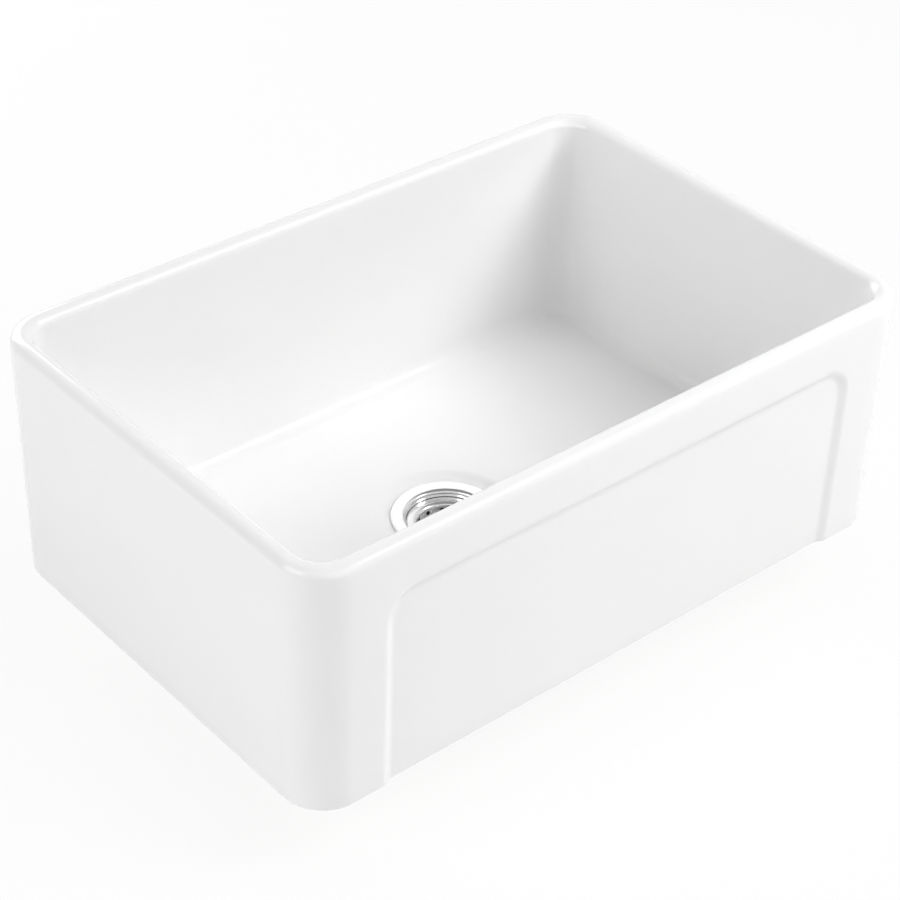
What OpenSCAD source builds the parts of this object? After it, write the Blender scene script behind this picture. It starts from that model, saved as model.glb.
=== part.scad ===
// Ceramic butler sink with a stainless basket waste, in millimetres.
// The origin is the middle of the sink's underside, +Z is up and the apron faces -Y.
// The bowl is one glazed casting. The waste is clamped through its outlet by one long
// screw, and the basket lifts out with the stopper that slides in it.

/* [Sink] */
// Overall width, left to right
sink_w = 750; // [620:1:1000]
// Overall depth, apron to back
sink_d = 500; // [420:1:600]
// Height from the underside to the top of the rim
sink_h = 276; // [220:1:320]
// Wall thickness at the rim
wall_t = 20; // [18:0.5:28]
// Radius that the rim turns down with, on the outside
rim_r = 10; // [6:0.5:11]
// Radius that the rim turns down with, into the basin
rim_in_r = 10; // [4:0.5:10]
// Radius of the outer vertical corners
corner_r = 47; // [38:1:70]
// How far each outer face leans in at the underside
draft = 2; // [0.5:0.5:5]
// Rounding of the bottom edge
foot_r = 3; // [1:0.5:6]

/* [Basin] */
// Thickness of the floor at the foot of the walls
floor_t = 25; // [22:0.5:36]
// How far each inner wall leans in at its foot
basin_draft = 3; // [0:0.5:8]
// Radius of the inner vertical corners at the rim
basin_corner_r = 31; // [18:1:32]
// Radius of the inner vertical corners at the foot of the walls
basin_foot_r = 34; // [28:1:45]
// Cove between the walls and the floor
cove_r = 18; // [10:1:24]
// Fall of the floor from the cove to the dish
floor_fall = 7; // [1:0.5:8]

/* [Apron panel] */
// Distance from the side of the sink to the middle of the panel's step
panel_side = 87; // [75:1:120]
// Distance from the top of the rim to the middle of the panel's step
panel_top = 57; // [45:1:90]
// Corner radius of the panel at the middle of its step
panel_r = 30; // [20:1:50]
// Width of the soft step round the panel
panel_step = 14; // [8:1:20]
// Depth of the panel below the face of the apron
panel_depth = 4.5; // [3:0.5:9]

/* [Outlet] */
// Distance of the outlet behind the middle of the basin
outlet_back = 12; // [0:1:20]
// Thickness of the casting where the waste seats
seat_t = 14.5; // [13:0.5:18]
// Gap between the cup and the hole in the casting
hole_gap = 1.1; // [0.6:0.1:3]
// Flat seat that shows outside the flange
seat_margin = 2.7; // [1:0.1:6]
// Width of the dish's sloping side
dish_side = 17; // [10:1:24]

/* [Waste cup] */
// Sheet thickness of the cup
cup_t = 0.9; // [0.7:0.1:1.2]
// Inside diameter of the cup at its mouth
cup_d = 85.4; // [82:0.2:90]
// Width of the flange, from the wall of the cup to its edge
flange_w = 16.6; // [14:0.1:20]
// Fall of the flange from its edge to the mouth
flange_fall = 0.4; // [0:0.1:0.8]
// Radius that the flange turns down with, into the cup
mouth_r = 4.4; // [2:0.1:5.5]
// Depth from the top of the flange to the ledge that carries the basket
ledge_depth = 9.5; // [9:0.5:14]
// Width of the ledge
ledge_w = 5.4; // [4:0.1:7]
// Taper of the wall below the ledge
cup_taper = 1; // [0.5:0.1:1.5]
// Depth from the top of the flange to the cup's floor
cup_depth = 49; // [47:0.5:56]
// Radius between the wall of the cup and its floor
cup_floor_r = 8; // [5:0.5:10]
// Depth of the dimple for the screw in the cup's floor
dimple_depth = 4; // [3.5:0.5:6]
// Number of slots in the cup's floor
slot_count = 6; // [4:1:8]
// Length of each slot, outwards
slot_len = 7; // [5:0.5:7]
// Width of the spokes between the slots
spoke_w = 4; // [3:0.5:6]

/* [Seals] */
// Thickness of the seal under the flange
flange_seal_t = 1.1; // [1:0.1:3]
// Thickness of the seal under the casting
outlet_seal_t = 3.5; // [2:0.5:5]
// Width of the seal under the casting
outlet_seal_w = 10.5; // [8:0.5:14]

/* [Outlet body] */
// Wall of the moulded outlet body
body_t = 3; // [2.5:0.1:4]
// Gap round the cup inside the outlet body
body_gap = 2.6; // [1.5:0.1:4]
// Thickness of the body's flange
body_flange_t = 4; // [3:0.5:6]
// Slope of the cone below level, in degrees
cone_slope = 30; // [20:1:40]
// Outside diameter of the threaded tail
tail_d = 47.8; // [44:0.1:50]
// Length of the threaded tail
tail_len = 22; // [16:1:40]
// Number of ribs under the body's flange
rib_count = 8; // [6:1:12]
// Thickness of the ribs and of the boss's arms
rib_t = 2.4; // [1.6:0.1:3.5]

/* [Clamp screw] */
// Diameter of the clamp screw
screw_d = 6; // [5:0.5:7]
// Diameter of the screw's head
head_d = 11.4; // [10:0.1:12]
// Height of the screw's head
head_h = 2.4; // [2:0.1:2.6]
// Thickness of the sealing washer under the head
screw_washer_t = 0.8; // [0.5:0.1:1]
// Length of the brass insert
insert_len = 12; // [8:1:14]

/* [Basket] */
// Sheet thickness of the basket
basket_t = 0.7; // [0.5:0.1:0.9]
// Depth of the basket from its rim to its bottom
basket_depth = 23; // [20:0.5:25]
// Gap between the basket's rim and the wall of the cup
basket_gap = 0.7; // [0.5:0.1:1.2]
// Gap between the basket's wall and the cup, below the ledge
basket_wall_gap = 5.6; // [3:0.1:7]
// Radius that the basket's rim turns down with, into its wall
basket_roll = 5; // [3:0.5:6]
// Taper of the basket's wall, top to bottom
basket_taper = 2; // [1.5:0.5:4]
// Radius between the wall of the basket and its bottom
basket_floor_r = 4; // [3:0.5:6]
// Diameter of the holes in the basket's bottom
basket_hole_d = 3.6; // [2.5:0.1:4.2]
// Number of rings of holes in the basket's bottom
basket_rings = 3; // [2:1:3]
// Number of holes in the innermost ring; each ring has six more than the last
ring_holes = 10; // [8:1:11]
// Diameter of the holes in the basket's wall
wall_hole_d = 4.8; // [3:0.1:5.2]
// Number of holes in each of the two rows round the basket's wall
wall_holes = 12; // [8:1:14]

/* [Stopper] */
// Diameter of the stem
stem_d = 6; // [5:0.5:7]
// Running clearance between the stem and its bush
stem_fit = 0.08; // [0.04:0.01:0.1]
// Diameter of the knob
knob_d = 18; // [14:0.5:22]
// Height of the knob
knob_h = 11; // [9:0.5:13]
// Height of the raised knob's underside above the bottom of the basket
knob_lift = 20; // [18:0.5:22]
// Outside diameter of the rubber stopper
stopper_d = 54; // [50:0.5:58]
// Thickness of the rubber stopper at its hub
stopper_t = 2.8; // [2:0.1:3.5]
// Depth of the stopper's lip below its hub
lip_h = 2; // [1.5:0.1:3]
// Diameter of the plate under the stopper
plate_d = 15; // [12:0.5:18]

/* [Hidden] */
$fn = 96;
// Points in a quarter turn of the bowl's corners
quarter = 12;
// How far a cut runs past the face that it leaves
past = 1;
// Gap between pieces that rest on each other but can part
rest_gap = 0.3;
// Gap between round pieces that are fixed together
fixed_gap = 0.03;

// Radii and heights of the cup, which the other pieces share
cup_r = cup_d / 2;
cup_low_r = cup_r - ledge_w;
flange_r = cup_r + flange_w;
edge_r = 1.6;
edge_c = flange_r - edge_r;
mouth_c = cup_r + mouth_r;
flange_top = seat_t + flange_seal_t + cup_t;
mouth_top = flange_top - flange_fall;
ledge_z = flange_top - ledge_depth;
cup_floor_z = flange_top - cup_depth;
cup_bend_c = cup_low_r - cup_taper - cup_floor_r;
cup_bend_z = cup_floor_z + cup_floor_r;
dimple_z = cup_floor_z - dimple_depth;
boss_top_z = dimple_z - cup_t;

// The hole in the casting clears the cup and the curve under its mouth
mouth_in_r = mouth_r - cup_t - 0.3;
seat_over = seat_t - (mouth_top - mouth_r);
hole_r = max(cup_r + cup_t + hole_gap,
  mouth_c - sqrt(max(mouth_in_r * mouth_in_r - seat_over * seat_over, 0)));

// Radii of the screw, its dimple and the brass insert
screw_r = screw_d / 2;
head_r = head_d / 2;
dimple_r = head_r + 2.4;
insert_r = screw_r + 2;
insert_top_z = boss_top_z - 2;
insert_low_z = insert_top_z - insert_len;

// The basket hangs by its rim from the ledge, and the bush goes through its bottom
basket_rim_z = ledge_z + rest_gap + basket_t;
basket_floor_z = basket_rim_z - basket_depth;
basket_rim_r = cup_r - basket_gap;
basket_wall_r = cup_low_r - basket_wall_gap - basket_t;
basket_low_r = basket_wall_r - basket_taper;
basket_flat_r = basket_low_r - basket_floor_r;
stem_r = stem_d / 2;
bush_r = stem_r + 2.1;
bush_lip = 1.6;
bush_top_z = basket_floor_z + 2.2;
bush_low_z = basket_floor_z - basket_t - 1.4;

// The stopper at rest is raised, with its top just under the bush
stopper_r = stopper_d / 2;
stopper_top_z = bush_low_z - rest_gap;
hub_low_z = stopper_top_z - stopper_t;
lip_low_z = hub_low_z - lip_h;
stopper_travel = lip_low_z - cup_floor_z - rest_gap;
plate_t = 1;
plate_low_z = hub_low_z - plate_t;
tenon_r = stem_r - 0.8;
knob_z = basket_floor_z + knob_lift;
knob_top_z = knob_z + knob_h;
tenon_top_z = knob_top_z - 4;

// The bush's groove and the spring ring in it
ring_wire_r = 0.5;
groove_r = stem_r + 1.1;
groove_h = 1.4;
groove_z = basket_floor_z - groove_h / 2;

// How far the outer faces have leaned in at a height
rim_low = sink_h - rim_r;
function lean(z) = draft * (1 - min(z, rim_low) / rim_low);

// A soft step from 0 to 1
function soft(t) = (1 - cos(180 * t)) / 2;

// One ring of the bowl: a rounded rectangle whose flats touch hx and hy exactly
function ring(hx, hy, r, z, cy = 0) =
  let (step = 90 / quarter, reach = r / cos(step / 2))
  [for (q = [0:3]) for (j = [0:quarter - 1])
    let (
      a = 90 * q + (j + 0.5) * step,
      sx = (q == 0 || q == 3) ? 1 : -1,
      sy = (q < 2) ? 1 : -1
    )
    [sx * (hx - r) + reach * cos(a), cy + sy * (hy - r) + reach * sin(a), z]];

// A ring set in from the outer faces
function inset_ring(inset, r, z) = ring(sink_w / 2 - inset, sink_d / 2 - inset, r, z);

// Two triangles for each cell between rings of n points, and a flat cap at each end
function loft_faces(rings, n) = concat(
  [[for (i = [0:n - 1]) i]],
  [for (k = [0:rings - 2]) for (i = [0:n - 1])
    let (a = k * n + i, b = k * n + (i + 1) % n) [a, a + n, b]],
  [for (k = [0:rings - 2]) for (i = [0:n - 1])
    let (a = k * n + i, b = k * n + (i + 1) % n) [b, a + n, b + n]],
  [[for (i = [n - 1:-1:0]) (rings - 1) * n + i]]
);

module loft(rings) {
  polyhedron([for (r = rings) each r], loft_faces(len(rings), len(rings[0])));
}

// Outside of the bowl, from the underside up over the rolled rim
roll_in = min(rim_in_r, wall_t - rim_r);
outer_rings = concat(
  [for (b = [0:30:90])
    let (z = foot_r * (1 - cos(b)), s = lean(z) + foot_r * (1 - sin(b)))
    inset_ring(s, corner_r - s, z)],
  [for (b = [0:15:90])
    let (s = rim_r * (1 - cos(b)))
    inset_ring(s, corner_r - s, rim_low + rim_r * sin(b))],
  [for (b = [(wall_t > rim_r + roll_in ? 0 : 15):15:90])
    let (s = wall_t - roll_in * (1 - sin(b)), t = b / 90)
    inset_ring(s, (1 - t) * (corner_r - s) + t * basin_corner_r,
      sink_h - roll_in * (1 - cos(b)))]
);

// Inside of the basin: leaning wall, cove, falling floor, dish and flat seat
wall_foot = wall_t + basin_draft;
cove_rings = [for (b = [0:15:90])
  let (s = cove_r * (1 - cos(b)))
  inset_ring(wall_foot + s, basin_foot_r - s, floor_t + cove_r * (1 - sin(b)))];
floor_hx = sink_w / 2 - wall_foot - cove_r;
floor_hy = sink_d / 2 - wall_foot - cove_r;
floor_r = basin_foot_r - cove_r;
seat_r = flange_r + seat_margin;
dish_r = seat_r + dish_side;
dish_top = floor_t - floor_fall;
floor_rings = [for (t = [0.2:0.2:1])
  ring(floor_hx + t * (dish_r - floor_hx), floor_hy + t * (dish_r - floor_hy),
    floor_r + t * (dish_r - floor_r), floor_t - t * floor_fall, t * outlet_back)];
dish_rings = [for (t = [0.125:0.125:1])
  let (r = dish_r - t * dish_side)
  ring(r, r, r, dish_top - soft(t) * (dish_top - seat_t), outlet_back)];
cap_r = hole_r - 4;
seat_rings = [ring(cap_r, cap_r, cap_r, seat_t, outlet_back)];

// The apron's panel is cut by a loft whose outline shrinks as it goes deeper
panel_bite = 0.08;
function face_y(z) = -sink_d / 2 + lean(z);
function panel_outline(grow) =
  let (
    hx = sink_w / 2 - panel_side + grow,
    top = sink_h - panel_top + grow,
    r = panel_r + grow,
    low = -foot_r - past
  )
  concat(
    [[-hx, low]],
    [for (a = [180:-10:90]) [-hx + r + r * cos(a), top - r + r * sin(a)]],
    [for (a = [90:-10:0]) [hx - r + r * cos(a), top - r + r * sin(a)]],
    [[hx, low]]
  );
function panel_ring(grow, deep) =
  [for (p = panel_outline(grow)) [p[0], face_y(p[1]) + deep, p[1]]];
panel_rings = concat(
  [panel_ring(panel_step / 2, -panel_depth - past)],
  [for (t = [0:0.125:1])
    panel_ring((0.5 - t) * panel_step, panel_bite + soft(t) * (panel_depth - panel_bite))]
);

module sink_body() {
  color("white") difference() {
    loft(concat(outer_rings, cove_rings, floor_rings, dish_rings, seat_rings));
    loft(panel_rings);
    translate([0, outlet_back, -past]) cylinder(r = hole_r, h = seat_t + 2 * past);
  }
}

// Everything in the waste turns about the outlet's axis
module turned(profile) {
  translate([0, outlet_back, 0]) rotate_extrude() polygon(profile);
}

// Copies spaced evenly round the outlet's axis, each starting at radius r and height z
module round_outlet(count, r, z, start = 0) {
  for (i = [0:count - 1]) translate([0, outlet_back, 0])
    rotate(start + i * 360 / count) translate([r, 0, z]) children();
}

// A flat ring, such as a washer
module flat_ring(r_in, r_out, z, t) {
  turned([[r_in, z], [r_out, z], [r_out, z + t], [r_in, z + t]]);
}

// An arc in the profile plane, from angle a0 to a1
function arc(cr, cz, r, a0, a1, n = 6) =
  [for (i = [0:n]) let (a = a0 + (a1 - a0) * i / n) [cr + r * cos(a), cz + r * sin(a)]];

// A sheet of thickness t below a path that runs from the outside in
function away(p, q) = let (d = q - p, m = norm(d)) [d[1] / m, -d[0] / m];
function below(path, t) =
  let (last = len(path) - 1)
  [for (i = [0:last])
    let (
      a = away(path[max(i - 1, 0)], path[max(i, 1)]),
      b = away(path[min(i, last - 1)], path[min(i + 1, last)]),
      m = a + b
    )
    path[i] - m * (2 * t / (m * m))];
function sheet(path, t) =
  let (under = below(path, t))
  concat(path, [for (i = [len(path) - 1:-1:0]) under[i]]);

// Seal under the flange; its top follows the fall of the flange
module flange_seal() {
  r_in = mouth_c + rest_gap;
  r_out = edge_c - rest_gap;
  slope = flange_fall / (edge_c - mouth_c);
  low_top = mouth_top - cup_t - fixed_gap;
  color("dimgray")
    turned([[r_in, seat_t], [r_out, seat_t], [r_out, low_top + slope * (r_out - mouth_c)],
      [r_in, low_top + slope * (r_in - mouth_c)]]);
}

// The pressed cup: rolled edge, flange, mouth, ledge, wall, floor and dimple
ledge_fillet = 1;
ledge_roll = 1.4;
slot_in_r = dimple_r + 3;
cup_path = concat(
  arc(edge_c, flange_top - edge_r, edge_r, 10, 90, 4),
  arc(mouth_c, mouth_top - mouth_r, mouth_r, 90, 180),
  arc(cup_r - ledge_fillet, ledge_z + ledge_fillet, ledge_fillet, 0, -90, 4),
  arc(cup_low_r + ledge_roll, ledge_z - ledge_roll, ledge_roll, 90, 180, 4),
  arc(cup_bend_c, cup_bend_z, cup_floor_r, 0, -90),
  [[dimple_r + 1.5, cup_floor_z], [dimple_r, dimple_z + 1], [dimple_r - 1, dimple_z]],
  [[screw_r + rest_gap, dimple_z]]
);

module strainer_cup() {
  slot_out_r = slot_in_r + slot_len;
  color("silver") difference() {
    turned(sheet(cup_path, cup_t));
    translate([0, outlet_back, cup_floor_z - cup_t - past])
      linear_extrude(cup_t + 2 * past)
        difference() {
          circle(r = slot_out_r);
          circle(r = slot_in_r);
          for (i = [0:slot_count - 1]) rotate(i * 360 / slot_count)
            translate([0, -spoke_w / 2]) square([slot_out_r + past, spoke_w]);
        }
  }
}

module outlet_seal() {
  r_in = hole_r + rest_gap;
  color("dimgray") flat_ring(r_in, r_in + outlet_seal_w, -outlet_seal_t, outlet_seal_t);
}

// The moulded outlet body: its wall runs down round the cup and narrows to the tail
body_in_r = cup_low_r + cup_t + body_gap;
body_out_r = body_in_r + body_t;
body_flange_r = hole_r + outlet_seal_w + 1.5;
body_top_z = -outlet_seal_t;
body_bend_r = body_in_r - cup_bend_c;
tail_r = tail_d / 2;
tail_in_r = tail_r - body_t;
tail_bend_r = 6;
cone_top = [cup_bend_c + body_bend_r * sin(cone_slope), cup_bend_z - body_bend_r * cos(cone_slope)];
cone_run = cone_top[0] - tail_in_r - tail_bend_r * (1 - sin(cone_slope));
tail_top_z = cone_top[1] - cone_run * tan(cone_slope) - tail_bend_r * cos(cone_slope);
collar_h = 5;
thread_top_z = tail_top_z - collar_h;
tail_end_z = thread_top_z - tail_len;
boss_r = insert_r + 2;
boss_low_z = insert_low_z - 3;
body_path = concat(
  [[body_in_r, body_top_z]],
  arc(cup_bend_c, cup_bend_z, body_bend_r, 0, cone_slope - 90, 5),
  arc(tail_in_r + tail_bend_r, tail_top_z, tail_bend_r, 90 + cone_slope, 180, 5),
  [[tail_in_r, tail_end_z]]
);

// The brass insert has a groove that keys it in the boss
key = 0.7;
insert_mid_z = insert_top_z - insert_len / 2;
insert_outline = [
  [insert_r, insert_low_z], [insert_r, insert_mid_z - 1 - key], [insert_r - key, insert_mid_z - 1],
  [insert_r - key, insert_mid_z + 1], [insert_r, insert_mid_z + 1 + key], [insert_r, insert_top_z]
];

module outlet_body() {
  rib_run = body_flange_r - 1 - body_out_r;
  rib_h = 15;
  arm_h = 8;
  sunk = 0.5;
  screw_way = screw_r + rest_gap;
  color("whitesmoke") difference() {
    union() {
      turned(sheet(body_path, body_t));
      flat_ring(body_in_r, body_flange_r, body_top_z - body_flange_t, body_flange_t);
      flat_ring(tail_in_r, tail_r + 1.6, thread_top_z, collar_h);
      turned([[0, boss_low_z], [boss_r, boss_low_z], [boss_r, boss_top_z], [0, boss_top_z]]);
      round_outlet(4, boss_r - sunk, tail_top_z - arm_h, 45)
        translate([0, -rib_t / 2, 0]) cube([tail_in_r - boss_r + 2 * sunk, rib_t, arm_h]);
      round_outlet(rib_count, body_out_r - sunk, body_top_z - body_flange_t, 180 / rib_count)
        translate([0, rib_t / 2, 0]) rotate([90, 0, 0]) linear_extrude(rib_t)
          polygon([[0, sunk], [rib_run, sunk], [rib_run, -1], [sunk, -rib_h], [0, -rib_h]]);
    }
    turned(concat([[0, insert_low_z]], insert_outline, [[0, insert_top_z]]));
    turned([[0, insert_top_z - past], [screw_way, insert_top_z - past],
      [screw_way, boss_top_z + past], [0, boss_top_z + past]]);
  }
}

module insert_nut() {
  bore_r = screw_r + fixed_gap;
  color("goldenrod")
    turned(concat([[bore_r, insert_low_z]], insert_outline, [[bore_r, insert_top_z]]));
}

module screw_washer() {
  color("dimgray")
    flat_ring(screw_r + fixed_gap, head_r + rest_gap, dimple_z, screw_washer_t);
}

// Pan head with a cross recess, and a shank down into the insert
module clamp_screw() {
  seat = dimple_z + screw_washer_t;
  top = seat + head_h;
  tip = insert_low_z + 1;
  edge = 1.2;
  drive_w = 1.2;
  drive_h = 1.4;
  color("silver") difference() {
    turned(concat([[0, tip], [screw_r - 1, tip], [screw_r, tip + 1], [screw_r, seat]],
      [[head_r, seat]], arc(head_r - edge, top - edge, edge, 0, 90, 4), [[0, top]]));
    round_outlet(4, 0, top - drive_h)
      translate([0, -drive_w / 2, 0]) cube([2.6, drive_w, drive_h + past]);
  }
}

// The pressed basket: rim with a turned edge, tapered wall and flat bottom
basket_edge_r = 0.9;
basket_path = concat(
  arc(basket_rim_r - basket_edge_r, basket_rim_z - basket_edge_r, basket_edge_r, 45, 90, 3),
  arc(basket_wall_r + basket_roll, basket_rim_z - basket_roll, basket_roll, 90, 175),
  arc(basket_flat_r, basket_floor_z + basket_floor_r, basket_floor_r, -5, -90),
  [[bush_r + fixed_gap, basket_floor_z]]
);
first_ring_r = bush_r + bush_lip + basket_hole_d / 2 + 1.6;
last_ring_r = basket_flat_r - basket_hole_d / 2 - 1.8;
ring_room = last_ring_r - first_ring_r;
ring_rows = min(basket_rings, 1 + floor(ring_room / (basket_hole_d + 1.2)));
ring_step = ring_room / max(ring_rows - 1, 1);
wall_row_z = basket_rim_z - basket_roll - wall_hole_d / 2;
wall_row_step = wall_hole_d + 1.6;

module basket_shell() {
  color("gainsboro") difference() {
    turned(sheet(basket_path, basket_t));
    for (k = [0:ring_rows - 1])
      round_outlet(ring_holes + 6 * k, first_ring_r + k * ring_step,
        basket_floor_z - basket_t - past)
        cylinder(d = basket_hole_d, h = basket_t + 2 * past);
    for (k = [0:1])
      round_outlet(wall_holes, basket_low_r - past, wall_row_z - k * wall_row_step,
        90 + k * 180 / wall_holes)
        rotate([0, 90, 0]) cylinder(d = wall_hole_d, h = basket_taper + basket_t + 2 * past);
  }
}

// Moulded bush clipped through the bottom of the basket; the stem slides in it
module guide_bush() {
  bore_r = stem_r + stem_fit;
  shoulder_z = basket_floor_z - basket_t;
  color("whitesmoke")
    turned([[bore_r, bush_low_z], [bush_r, bush_low_z], [bush_r + 1, shoulder_z],
      [bush_r, shoulder_z], [bush_r, basket_floor_z], [bush_r + bush_lip, basket_floor_z],
      [bush_r + bush_lip, basket_floor_z + 1], [bush_r, bush_top_z], [bore_r, bush_top_z],
      [bore_r, groove_z + groove_h], [groove_r, groove_z + groove_h],
      [groove_r, groove_z], [bore_r, groove_z]]);
}

// Spring ring in the bush's groove that clicks into the stem
module detent_ring() {
  color("silver") translate([0, outlet_back, groove_z + groove_h / 2]) rotate_extrude()
    translate([stem_r + stem_fit + ring_wire_r, 0]) circle(r = ring_wire_r);
}

// A waist in the stem, as profile points that run upwards
function waist(z) =
  let (depth = 0.4)
  [[stem_r, z - 2 * depth], [stem_r - depth, z - depth], [stem_r - depth, z + depth],
    [stem_r, z + 2 * depth]];

// Stem with a riveted foot, and a waist for the spring ring at each end of its travel
module stem() {
  foot_z = plate_low_z - 0.8;
  detent_z = groove_z + groove_h / 2;
  color("silver")
    turned(concat(
      [[0, foot_z], [stem_r + 0.8, foot_z], [stem_r + 1.2, plate_low_z],
        [tenon_r, plate_low_z], [tenon_r, stopper_top_z], [stem_r, stopper_top_z]],
      waist(detent_z), waist(detent_z + stopper_travel),
      [[stem_r, knob_z], [tenon_r, knob_z], [tenon_r, tenon_top_z], [0, tenon_top_z]]
    ));
}

// Turned knob with a waist for the fingers and a blind hole for the stem
module knob() {
  r = knob_d / 2;
  edge = 1.4;
  neck_r = r - 3.5;
  hole = tenon_r + fixed_gap;
  color("silver")
    turned(concat(
      [[hole, knob_z], [neck_r + 1, knob_z], [neck_r, knob_z + 2], [neck_r, knob_top_z - 5],
        [r, knob_top_z - 3.4]],
      arc(r - edge, knob_top_z - edge, edge, 0, 90, 4),
      [[0, knob_top_z], [0, tenon_top_z + fixed_gap], [hole, tenon_top_z + fixed_gap]]
    ));
}

// Rubber stopper: a thin hub, and a rim that ends in the sealing lip
module stopper_seal() {
  hole = tenon_r + fixed_gap;
  bevel = 1;
  color("dimgray")
    turned([[hole, hub_low_z], [stopper_r - 9, hub_low_z], [stopper_r - 5.5, lip_low_z],
      [stopper_r - bevel, lip_low_z], [stopper_r, lip_low_z + bevel],
      [stopper_r, stopper_top_z - bevel], [stopper_r - bevel, stopper_top_z],
      [hole, stopper_top_z]]);
}

module seal_plate() {
  color("silver") flat_ring(tenon_r + fixed_gap, plate_d / 2, plate_low_z, plate_t);
}

sink_body();
flange_seal();
strainer_cup();
outlet_seal();
outlet_body();
insert_nut();
screw_washer();
clamp_screw();
basket_shell();
guide_bush();
detent_ring();
stem();
knob();
stopper_seal();
seal_plate();
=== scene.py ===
# A ceramic butler sink with a stainless basket waste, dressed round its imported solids.
# Lengths are in metres. The origin is the middle of the sink's underside, +X runs to the
# right along the apron, +Y to the back and +Z up.
import bisect
import math
import bpy
import bmesh
from mathutils import Matrix, Vector
from mathutils.geometry import delaunay_2d_cdt


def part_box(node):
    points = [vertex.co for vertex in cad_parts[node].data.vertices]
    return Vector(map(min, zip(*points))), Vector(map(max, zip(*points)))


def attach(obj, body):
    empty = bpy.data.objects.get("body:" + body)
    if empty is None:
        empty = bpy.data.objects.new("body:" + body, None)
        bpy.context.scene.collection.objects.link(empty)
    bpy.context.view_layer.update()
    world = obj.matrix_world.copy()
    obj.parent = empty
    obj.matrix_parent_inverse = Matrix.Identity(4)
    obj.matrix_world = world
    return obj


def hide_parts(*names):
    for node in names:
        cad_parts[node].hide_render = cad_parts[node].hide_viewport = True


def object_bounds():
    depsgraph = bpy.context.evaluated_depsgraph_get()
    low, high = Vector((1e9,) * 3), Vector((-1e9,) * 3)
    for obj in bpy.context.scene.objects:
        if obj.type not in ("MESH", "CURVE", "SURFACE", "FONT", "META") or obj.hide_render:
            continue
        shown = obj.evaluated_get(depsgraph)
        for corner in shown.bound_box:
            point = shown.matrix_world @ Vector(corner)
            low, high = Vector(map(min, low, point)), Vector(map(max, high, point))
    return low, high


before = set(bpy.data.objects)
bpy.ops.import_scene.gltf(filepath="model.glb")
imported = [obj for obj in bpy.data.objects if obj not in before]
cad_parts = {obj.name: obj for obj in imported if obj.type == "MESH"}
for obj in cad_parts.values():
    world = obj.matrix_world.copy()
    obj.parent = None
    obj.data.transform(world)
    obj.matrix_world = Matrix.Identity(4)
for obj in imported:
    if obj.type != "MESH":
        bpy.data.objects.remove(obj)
cad_box = [list(corner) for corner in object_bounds()]


# The bowl. One fireclay casting, glazed white all over but for its flat underside. It is
# slip cast in plaster moulds, so its walls lean, its rim is rolled and its basin is coved.
bowl_low, bowl_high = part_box("sink_body")
BOWL_W = bowl_high.x - bowl_low.x
BOWL_D = bowl_high.y - bowl_low.y
BOWL_H = bowl_high.z
WALL = 0.020
RIM_R = 0.010
CORNER_R = 0.047
DRAFT = 0.002
FOOT_R = 0.003
BASIN_DRAFT = 0.003
BASIN_CORNER_R = 0.031
BASIN_FOOT_R = 0.034
COVE_R = 0.018
FLOOR_Z = 0.025
FLOOR_FALL = 0.007
OUTLET_Y = 0.012
HOLE_R = 0.04555
HOLE_EDGE = 0.0008
DISH_R = 0.079
SEAT_R = 0.062
SEAT_Z = 0.0145
PANEL_X = BOWL_W / 2 - 0.087
PANEL_TOP = BOWL_H - 0.057
PANEL_R = 0.030
PANEL_STEP = 0.014
PANEL_DEPTH = 0.0045


def soft_step(t):
    """Rises gently from 0 to 1."""
    t = min(max(t, 0), 1)
    return (1 - math.cos(math.pi * t)) / 2


def spread(low, high, count):
    """count evenly spaced values from low to high."""
    return [low + (high - low) * i / (count - 1) for i in range(count)]


FLAT_X = BOWL_W / 2 - CORNER_R
FINE = 0.0015
EDGE_IN = 0.036
EDGE_OUT = 0.010
FINE_COUNT = 1 + round((EDGE_IN + EDGE_OUT) / FINE)
fine_x = spread(PANEL_X - EDGE_IN, PANEL_X + EDGE_OUT, FINE_COUNT)
front_stops = [-1, -0.96] + [-x / FLAT_X for x in reversed(fine_x)] + spread(-0.72, 0.72, 13)
front_stops += [x / FLAT_X for x in fine_x] + [0.96, 1]
back_stops = spread(-1, 1, 21)
side_stops = spread(-1, 1, 13)
CORNER_STEPS = 20


def panel_sink(x, z):
    """How far the apron's panel is set back at a place on the front face."""
    over_x = abs(x) - (PANEL_X - PANEL_R)
    over_z = z - (PANEL_TOP - PANEL_R)
    if over_x > 0 and over_z > 0:
        outside = math.hypot(over_x, over_z) - PANEL_R
    else:
        outside = max(over_x, over_z) - PANEL_R
    return PANEL_DEPTH * soft_step(0.5 - outside / PANEL_STEP)


def bowl_row(inset, corner, z, panel=False):
    """One level of the bowl, anticlockwise from the left end of the front."""
    half_x, half_y = BOWL_W / 2 - inset, BOWL_D / 2 - inset
    flat_x, flat_y = half_x - corner, half_y - corner
    sides = [
        (front_stops, (1, 0), (0, -1)), (side_stops, (0, 1), (1, 0)),
        (back_stops, (-1, 0), (0, 1)), (side_stops, (0, -1), (-1, 0)),
    ]
    row = []
    for turn, (stops, along, out) in enumerate(sides):
        for f in stops:
            x = along[0] * f * flat_x + out[0] * half_x
            y = along[1] * f * flat_y + out[1] * half_y
            if panel and turn == 0:
                y += panel_sink(x, z)
            row.append((x, y, z))
        centre = ((along[0] + out[0]) * flat_x, (along[1] + out[1]) * flat_y)
        for k in range(1, CORNER_STEPS):
            a = math.radians(90 * turn - 90 + 90 * k / CORNER_STEPS)
            row.append((centre[0] + corner * math.cos(a), centre[1] + corner * math.sin(a), z))
    return row


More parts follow.
